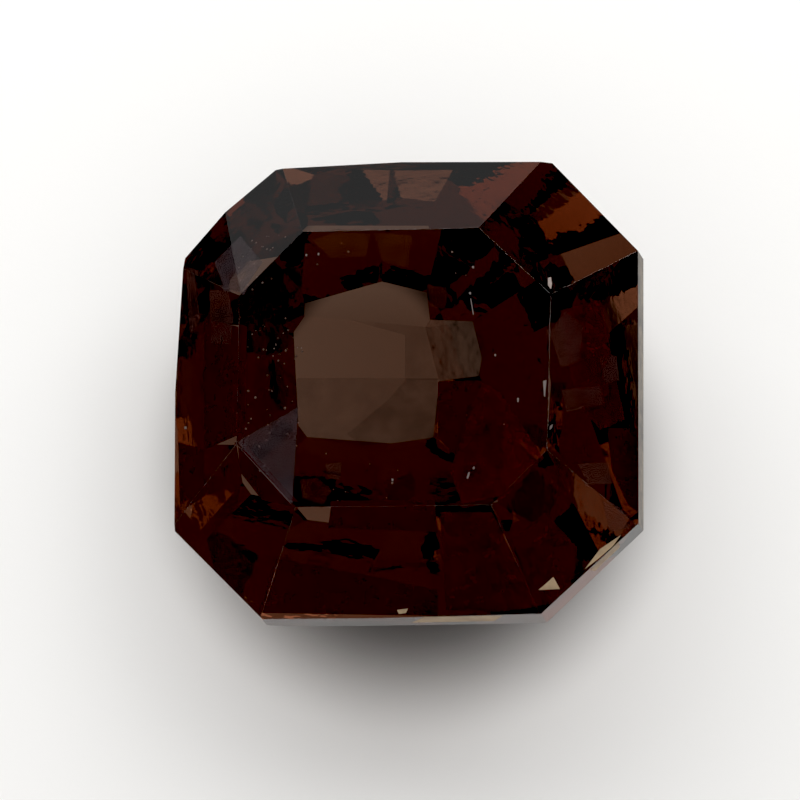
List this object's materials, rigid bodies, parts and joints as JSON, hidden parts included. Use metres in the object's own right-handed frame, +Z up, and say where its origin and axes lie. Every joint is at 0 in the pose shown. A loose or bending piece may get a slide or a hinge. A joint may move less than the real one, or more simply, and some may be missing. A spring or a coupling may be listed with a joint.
{
  "type": "faceted sapphire",
  "caption": "Loose cut sapphire, square with cut corners, brown red and see-through, lying on the flat base facet of its lower side with its table up.",
  "frame": {"origin": "bottom centre of the stone's box: the middle of its outline, at the level of the base facet it lies on", "axes": "+Z up from the surface that the stone lies on, square to its base facet, with the table 12.7 degrees off level; +Y toward the side that is uppermost in the picture; +X to the picture's right"},
  "size_m": [0.0074, 0.0076, 0.0053],
  "materials": {
    "sapphire": "polished clear corundum"
  },
  "bodies": {
    "root": {"sapphire": "sapphire"}
  },
  "joints": []
}
